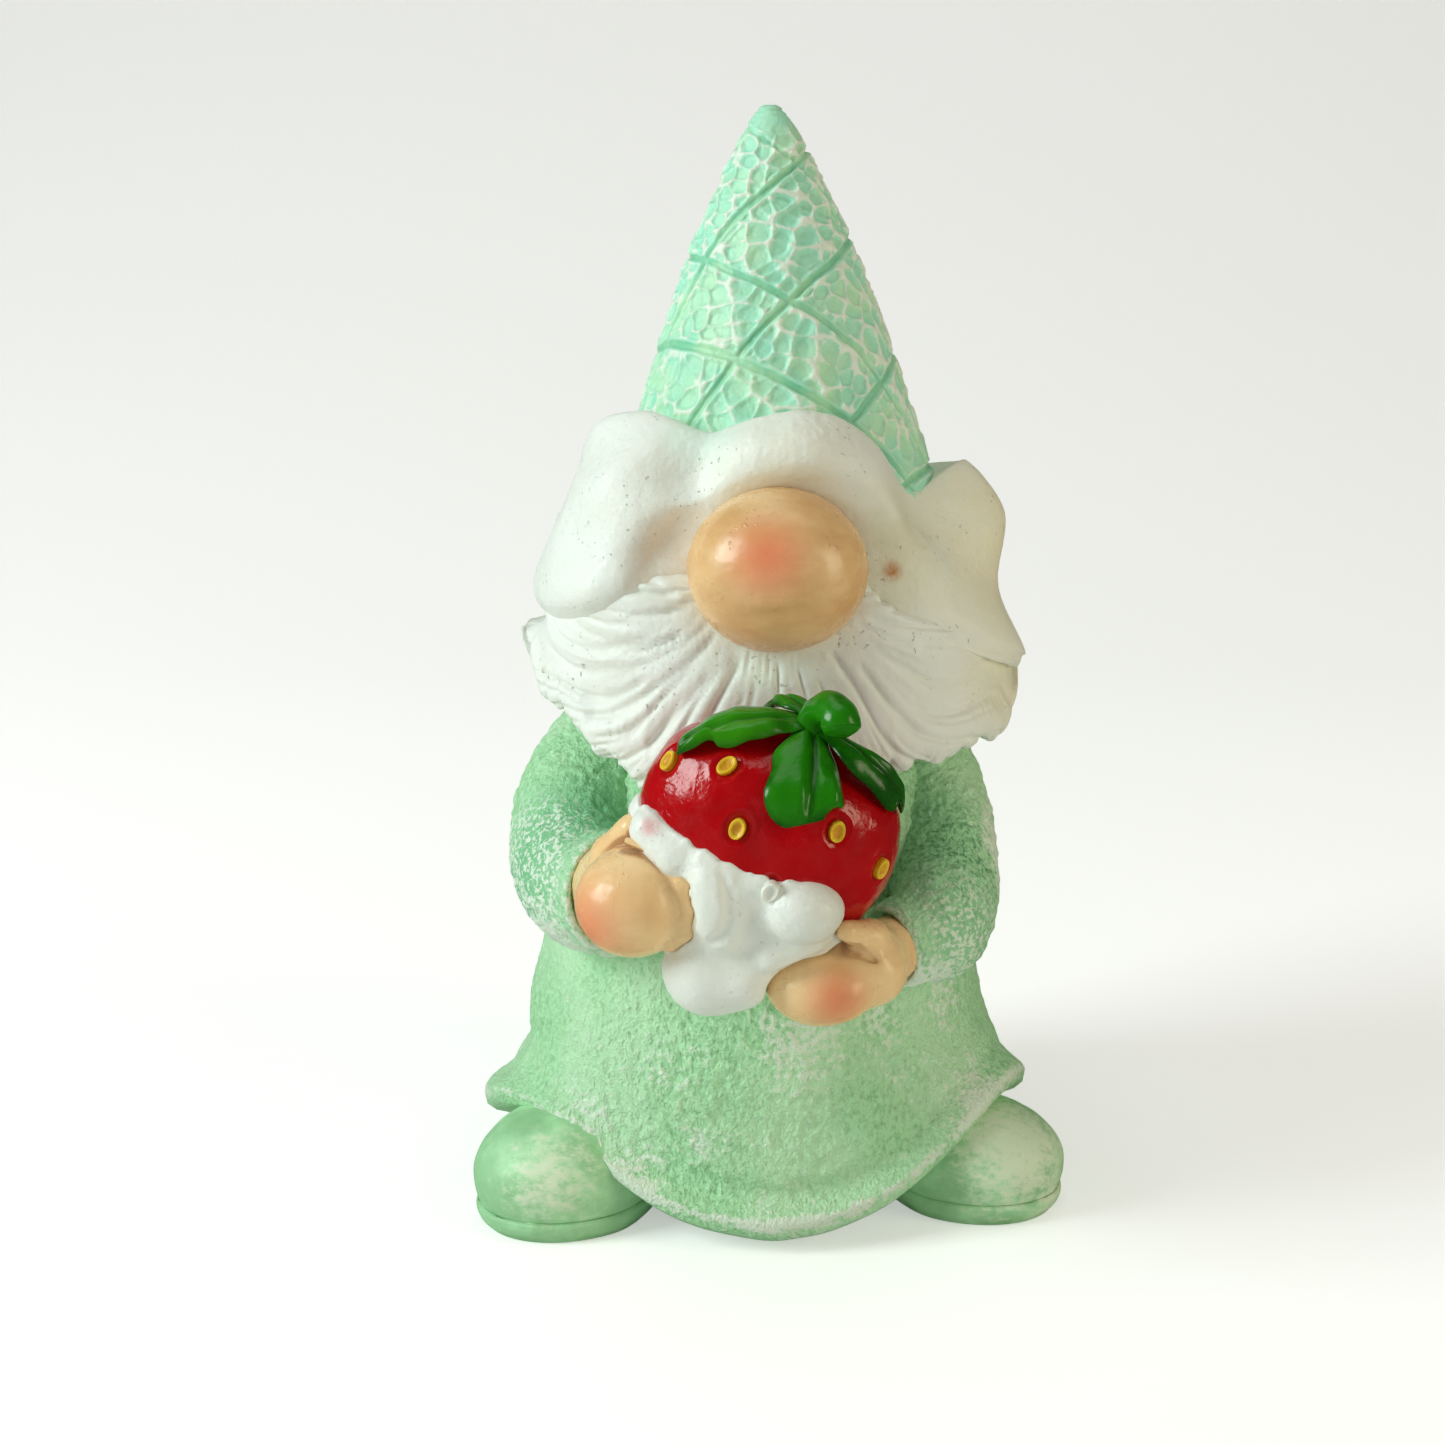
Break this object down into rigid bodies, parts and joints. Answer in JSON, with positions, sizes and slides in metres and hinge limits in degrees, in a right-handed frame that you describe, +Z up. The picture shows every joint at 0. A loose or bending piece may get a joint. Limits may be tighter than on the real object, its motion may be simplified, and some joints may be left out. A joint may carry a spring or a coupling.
{
  "type": "gnome figurine",
  "caption": "Small painted resin tomte gnome with a waffle-textured cone hat, drooping brim, round nose and combed beard, holding a cream-dipped strawberry in both hands",
  "frame": {"origin": "on the ground plane under the middle of the head, on the base plate's underside", "axes": "+Z up through the hat's tip, the gnome faces -Y, its own right hand is at -X"},
  "size_m": [0.0715, 0.0735, 0.13],
  "materials": {
    "mint_paint": "matte",
    "cream_paint": "satin",
    "skin_paint": "satin",
    "strawberry_red": "gloss",
    "leaf_green": "gloss",
    "seed_yellow": "satin",
    "bare_resin": "matte"
  },
  "bodies": {
    "root": {"hat": "mint_paint", "hat_brim": "cream_paint", "head_core": "bare_resin", "nose": "skin_paint", "beard": "cream_paint", "robe": "mint_paint", "base_plate": "bare_resin", "right_sleeve": "mint_paint", "left_sleeve": "mint_paint", "right_hand": "skin_paint", "left_hand": "skin_paint", "strawberry": "strawberry_red", "strawberry_cream": "cream_paint", "calyx_leaf_front": "leaf_green", "calyx_leaf_right": "leaf_green", "calyx_leaf_left": "leaf_green", "calyx_leaf_back": "leaf_green", "stem": "leaf_green", "seed_1": "seed_yellow", "seed_2": "seed_yellow", "seed_3": "seed_yellow", "seed_4": "seed_yellow", "seed_5": "seed_yellow", "seed_6": "seed_yellow", "right_shoe": "mint_paint", "left_shoe": "mint_paint", "right_sole": "mint_paint", "left_sole": "mint_paint"}
  },
  "joints": []
}
